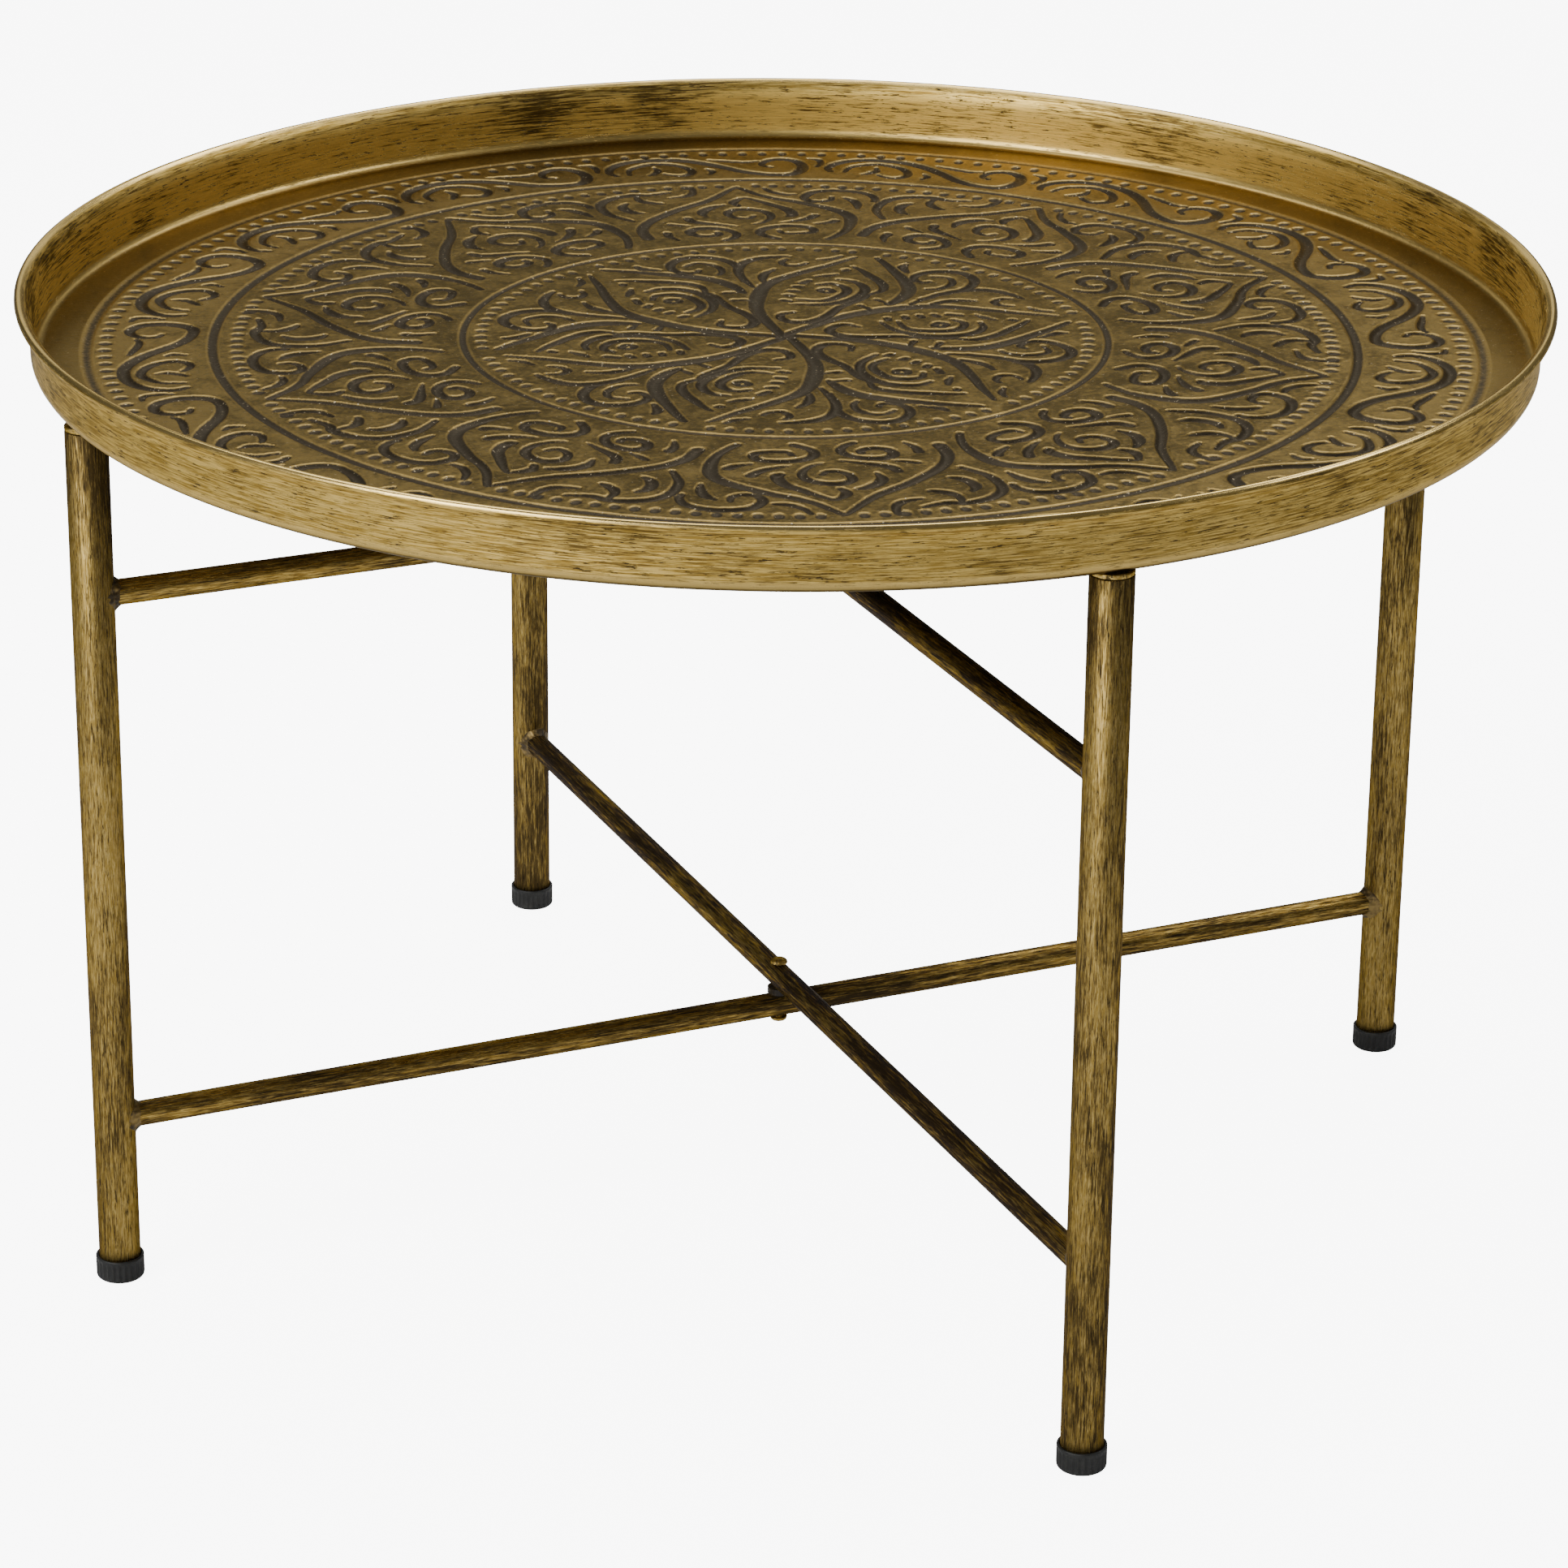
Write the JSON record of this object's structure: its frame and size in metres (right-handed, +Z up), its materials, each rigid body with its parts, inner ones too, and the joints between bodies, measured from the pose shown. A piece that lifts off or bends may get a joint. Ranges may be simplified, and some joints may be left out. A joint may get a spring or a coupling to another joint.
{
  "type": "folding tray table",
  "caption": "Round pressed brass tray with an upright rolled rim that lifts off a folding base of two crossed tube frames with capped feet.",
  "frame": {"origin": "on the floor, under the middle of the tray", "axes": "+Z up; the outer frame's legs stand on X and the inner frame's legs on Y"},
  "size_m": [0.635, 0.635, 0.4059],
  "materials": {
    "tray_brass": "brushed antique brass with a dark patina in the pressed pattern",
    "stud_brass": "dull antique brass",
    "leg_brass": "antique brass, rubbed along its length",
    "rail_brass": "antique brass, darker, with rubbed patches",
    "weld_brass": "dark uneven weld bead under the same finish",
    "rivet_brass": "rubbed brass",
    "washer_metal": "dark, dull",
    "black_rubber": "matt black with upright ribs"
  },
  "bodies": {
    "outer_frame": {"leg_right": "leg_brass", "foot_right": "black_rubber", "leg_left": "leg_brass", "foot_left": "black_rubber", "outer_rail_lower": "rail_brass", "weld_right_lower": "weld_brass", "weld_left_lower": "weld_brass", "outer_rail_upper": "rail_brass", "weld_right_upper": "weld_brass", "weld_left_upper": "weld_brass", "rivet_lower": "rivet_brass", "rivet_upper": "rivet_brass", "washer_lower": "washer_metal", "washer_upper": "washer_metal"},
    "inner_frame": {"leg_back": "leg_brass", "foot_back": "black_rubber", "leg_front": "leg_brass", "foot_front": "black_rubber", "inner_rail_lower": "rail_brass", "weld_back_lower": "weld_brass", "weld_front_lower": "weld_brass", "inner_rail_upper": "rail_brass", "weld_back_upper": "weld_brass", "weld_front_upper": "weld_brass"},
    "tray": {"tray_pan": "tray_brass", "tray_stud_right": "stud_brass", "tray_stud_back": "stud_brass", "tray_stud_left": "stud_brass", "tray_stud_front": "stud_brass"}
  },
  "joints": [
    {"name": "base_fold", "type": "hinge", "parent": "outer_frame", "child": "inner_frame", "pos_m": [0, 0, 0], "axis": [0, 0, 1], "range_deg": [-78, 78]},
    {"name": "tray_lift", "type": "slide", "parent": "outer_frame", "child": "tray", "axis": [0, 0, 1], "range_m": [0, 0.2]}
  ]
}
